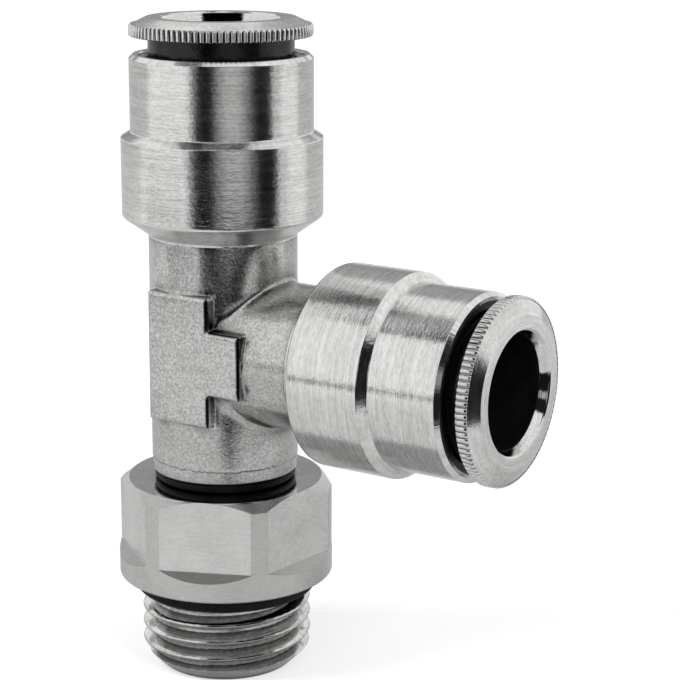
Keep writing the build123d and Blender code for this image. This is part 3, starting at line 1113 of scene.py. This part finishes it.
@dataclass
class Studio:
    """Camera, floor, lights and the dark cards that the metal mirrors."""

    turn: float = 33.305
    tilt: float = 13.815
    roll: float = 0.22
    shift: tuple[float, float, float] = (-8.949, 17.827, 159.727)
    focal_px: float = 2024.27
    image_px: int = 680
    floor_z: float = -7.41

    def camera(self) -> None:
        """Place the camera at the photograph's view."""
        a, e, g = (math.radians(v) for v in (self.turn, self.tilt, self.roll))
        right = Vector((math.cos(a), math.sin(a), 0))
        ahead = Vector((-math.sin(a) * math.cos(e), math.cos(a) * math.cos(e), -math.sin(e)))
        up = right.cross(ahead)
        across = right * math.cos(g) + up * math.sin(g)
        down = right * math.sin(g) - up * math.cos(g)
        tx, ty, tz = self.shift
        place = -(across * tx + down * ty + ahead * tz)
        data = bpy.data.cameras.new("camera")
        data.sensor_width = 36.0
        data.lens = self.focal_px * 36.0 / self.image_px
        data.clip_start, data.clip_end = 0.005, 10.0
        made = bpy.data.objects.new("camera", data)
        turn = Matrix((across, -down, -ahead)).transposed()
        made.matrix_world = Matrix.Translation(place * MM) @ turn.to_4x4()
        bpy.context.scene.collection.objects.link(made)
        bpy.context.scene.camera = made

    def world(self) -> None:
        """White surroundings for the camera and for mirror rays, softer light for the rest."""
        world = bpy.data.worlds.new("surroundings")
        bpy.context.scene.world = world
        world.use_nodes = True
        nodes = Nodes(world.node_tree)
        path = nodes.add("ShaderNodeLightPath")
        seen = path[0].most(path[3]).most(path[6])
        background = world.node_tree.nodes["Background"]
        background.inputs["Color"].default_value = (1.0, 1.0, 1.0, 1.0)
        world.node_tree.links.new((seen * 0.4 + 0.6).socket, background.inputs["Strength"])

    def floor(self) -> None:
        """A pale floor that keeps the object's shadow, with painted shade round the object: its glow is weaker near the
        object than far off.
        """
        size = 1500.0
        corners = np.array([(-size, -size, 0), (size, -size, 0), (size, size, 0), (-size, size, 0)], float)
        made = piece_from("floor", corners, None, [(0, 1, 2, 3)], Matrix.Translation((0, 0, self.floor_z - 0.01)))
        material = bpy.data.materials.new("pale_floor")
        material.use_nodes = True
        nodes = Nodes(material.node_tree)
        path = nodes.add("ShaderNodeLightPath")
        camera, mirror = path[0], path[3].most(path[6])
        x, y, _ = nodes.split(nodes.add("ShaderNodeTexCoord")[3])
        # Painted shade: the glow grows from 50 to 150 mm out, so the floor is darker round the object, more so in
        # mirror rays.
        far = ((x * x + y * y).sqrt() / MM).step(50.0, 150.0)
        lit = 1.0 - camera * 0.45 - mirror * 0.52
        glow = camera * (far * 0.22 + 0.53) + mirror * (far * 0.17 + 0.12)
        shader = material.node_tree.nodes["Principled BSDF"]
        shader.inputs["Roughness"].default_value = 0.9
        shader.inputs["Specular IOR Level"].default_value = 0.0
        pale = nodes.shade(lit, (0.0, 0.0, 0.0), (0.86, 0.86, 0.86))
        links = material.node_tree.links
        links.new(pale.socket, shader.inputs["Base Color"])
        shader.inputs["Emission Color"].default_value = (1.0, 1.0, 1.0, 1.0)
        links.new(glow.socket, shader.inputs["Emission Strength"])
        made.data.materials.append(material)
        made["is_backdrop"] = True

    def card(self, name: str, points: Sequence[tuple[float, float, float]], faces: Sequence[tuple[int, ...]],
             shade: float) -> None:
        """A card that only mirror rays see.

        Args:
            name: Its name.
            points: Its corners in millimetres.
            faces: Corner numbers of its faces.
            shade: Its brightness.
        """
        made = piece_from(name, np.array(points, float), None, list(faces), Matrix.Identity(4))
        material = bpy.data.materials.new(name)
        material.use_nodes = True
        nodes = Nodes(material.node_tree)
        glow = nodes.add("ShaderNodeEmission", None, {"Color": (shade, shade, shade, 1.0), "Strength": 1.0})[0]
        out = next(n for n in material.node_tree.nodes if n.type == "OUTPUT_MATERIAL")
        material.node_tree.links.new(glow.socket, out.inputs["Surface"])
        made.data.materials.append(material)
        made.visible_camera = False
        made.visible_diffuse = False
        made.visible_shadow = False
        made.visible_transmission = False
        made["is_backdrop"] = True

    def standing(self, name: str, start: float, end: float, distance: float, low: float, high: float, shade: float) -> None:
        """A curved card that stands round the object.

        Args:
            name: Its name.
            start: Where it starts, in degrees to the right of the camera.
            end: Where it ends.
            distance: Its distance in millimetres.
            low: Its lower edge.
            high: Its upper edge.
            shade: Its brightness.
        """
        angles = np.radians(self.turn - 86.6 + np.linspace(start, end, 9))
        points = [(distance * math.cos(a), distance * math.sin(a), z) for z in (low, high) for a in angles]
        self.card(name, points, [(i, i + 1, i + 10, i + 9) for i in range(8)], shade)

    def roof(self, name: str, across: tuple[float, float], along: tuple[float, float], level: float, shade: float) -> None:
        """A level card over and behind the object.

        Args:
            name: Its name.
            across: Its ends along X.
            along: Its ends along Y.
            level: Its height.
            shade: Its brightness.
        """
        (left, right), (near, far) = across, along
        self.card(name, [(left, near, level), (right, near, level), (right, far, level), (left, far, level)], [(0, 1, 2, 3)], shade)

    def lamp(self, name: str, place: tuple[float, float, float], size: float, power: float) -> None:
        """A soft square lamp that looks at the object.

        Args:
            name: Its name.
            place: Where it stands, in millimetres.
            size: Its width in millimetres.
            power: Its power in watts.
        """
        data = bpy.data.lights.new(name, "AREA")
        data.size = size * MM
        data.energy = power
        made = bpy.data.objects.new(name, data)
        made.visible_glossy = False
        made.location = Vector(place) * MM
        made.rotation_mode = "QUATERNION"
        made.rotation_quaternion = (Vector((5, 0, 18)) - Vector(place)).to_track_quat("-Z", "Y")
        bpy.context.scene.collection.objects.link(made)

    def build(self) -> None:
        """Set up the whole studio."""
        scene = bpy.context.scene
        scene.view_settings.view_transform = "Standard"
        self.camera()
        self.world()
        self.floor()
        self.standing("bright_left", -92, -42, 120, -7.4, 60, 1.0)
        shades = [(-38, 0.35), (-34, 0.08), (-30, 0.008), (-11, 0.16), (-6, 0.36), (1, 0.55), (22, 0.36), (30, 0.16), (37, 0.04), (42, 0.008), (63, 0.0)]
        for (start, shade), (end, _) in zip(shades, shades[1:]):
            self.standing(f"backdrop_{start}", start, end, 110, -7.4, 48, shade)
        self.standing("hood", -30, 50, 112, 48, 104, 0.015)
        self.standing("bright_left", -100, -42, 120, -7.4, 60, 1.0)
        self.standing("bright_right", 76, 106, 120, -7.4, 60, 0.95)
        self.standing("dark_low", -26, -8, 100, -7.4, 0, 0.02)
        self.standing("dark_low_right", 20, 64, 85, -7.4, 6, 0.015)
        self.standing("dark_front", 12, 24, 58, -4, 9, 0.02)
        self.standing("skyline", -95, -45, 110, 2.8, 9.0, 0.0)
        self.standing("mouth_shade", -12, 18, 98, -7.4, 9, 0.0)
        self.standing("top_shade", 160, 200, 150, 38, 84, 0.33)
        self.standing("mouth_card", 10, 38, 46, 3, 20, 0.01)
        self.standing("mouth_hood", -58, 50, 22, 54, 96, 0.0)
        self.roof("roof", (-400, -20), (95, 320), 150, 0.42)
        self.roof("roof_middle", (-26, 4), (16, 44), 150, 0.01)
        self.roof("roof_front", (-60, -14), (-70, 10), 151, 0.25)
        self.roof("mouth_floor", (38, 86), (-102, -42), -7.3, 0.01)
        self.roof("foot_shade", (-13, 13), (-13, 13), -7.3, 0.32)
        self.lamp("key", (-120, -160, 190), 120, 0.55)
        self.lamp("fill", (190, -60, 120), 90, 0.4)


def keep_bounds(into: dict[str, list[list[float]]], name: str) -> None:
    """Note the object's present box under a name."""
    into[name] = [list(corner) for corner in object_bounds()]


def main() -> None:
    """Build every piece in order, then the studio."""
    logging.basicConfig(level=logging.INFO, format="%(message)s")
    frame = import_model()
    sizes: dict[str, list[list[float]]] = {}
    keep_bounds(sizes, "cad")
    run_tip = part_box("run_push_ring")[1][2] / MM
    branch_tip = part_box("branch_push_ring")[1][0] / MM
    branch_z = sum(corner[2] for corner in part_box("branch_push_ring")) / 2 / MM
    LOG.info("frame: %d nodes, run face %.3f, branch face %.3f at %.3f", len(frame["nodes"]), run_tip, branch_tip, branch_z)
    thread_axis = Axis((0.0, 0.0, 0.0))
    run_axis = Axis((0.0, 0.0, run_tip))
    branch_axis = Axis((branch_tip, 0.0, branch_z), along_x=True)
    rubber = MouldedFinish("black_rubber").build()
    polymer = MouldedFinish("black_polymer", roughness=0.08, gloss=0.32, wave=0.12).build()
    brass = TurnedFinish("bare_brass", thread_axis, (0.42, 0.31, 0.14), (0.62, 0.47, 0.24)).build()
    blasted = BlastedFinish("blasted_nickel").build()
    milled = MilledFinish("milled_nickel", 7.65).build()
    thread_nickel = TurnedFinish("thread_nickel", thread_axis, (0.38, 0.38, 0.37), (0.76, 0.76, 0.75), 0.12, 0.003).build()
    ports = []
    for side, axis, body, stem, tone in (("run", run_axis, Body.RUN_RING, 5.64, 0.04),
                                         ("branch", branch_axis, Body.BRANCH_RING, 5.5, 0.28)):
        port = Port(side, axis, body, stem)
        turned = TurnedFinish(side + "_nickel", axis).build()
        # Each push ring's finish paints shade into its knurl groove, darker on the run (0.04) than on the branch
        # (0.28).
        bright = TurnedFinish(side + "_bright", axis, (0.52, 0.52, 0.51), (0.80, 0.80, 0.79), 0.25 if side == "run" else 0.15, 0.003,
                              groove=(6.69, -1.39, -0.56), groove_shade_tone=tone, polished_r=4.66).build()
        port.collar(turned)
        port.push_ring(bright)
        port.knurl(bright)
        port.sleeve(polymer)
        port.fingers(polymer)
        port.rings(polymer, brass, rubber)
        ports.append(port)
    forging = Forging(ports[0], ports[1], branch_z=branch_z)
    forging.core(blasted)
    forging.foot(blasted)
    stud = Stud()
    stud.hexagon(milled)
    stud.thread(thread_nickel)
    stud.neck(milled)
    stud.rubber(rubber, milled)
    clip = frame["nodes"]["retaining_clip"]
    clip.data.materials.clear()
    clip.data.materials.append(TurnedFinish("spring_wire", thread_axis, (0.3, 0.31, 0.33), (0.5, 0.51, 0.53)).build())
    Studio(floor_z=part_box("male_stud")[0][2] / MM).build()
    keep_bounds(sizes, "visual")


if __name__ == "__main__":
    main()
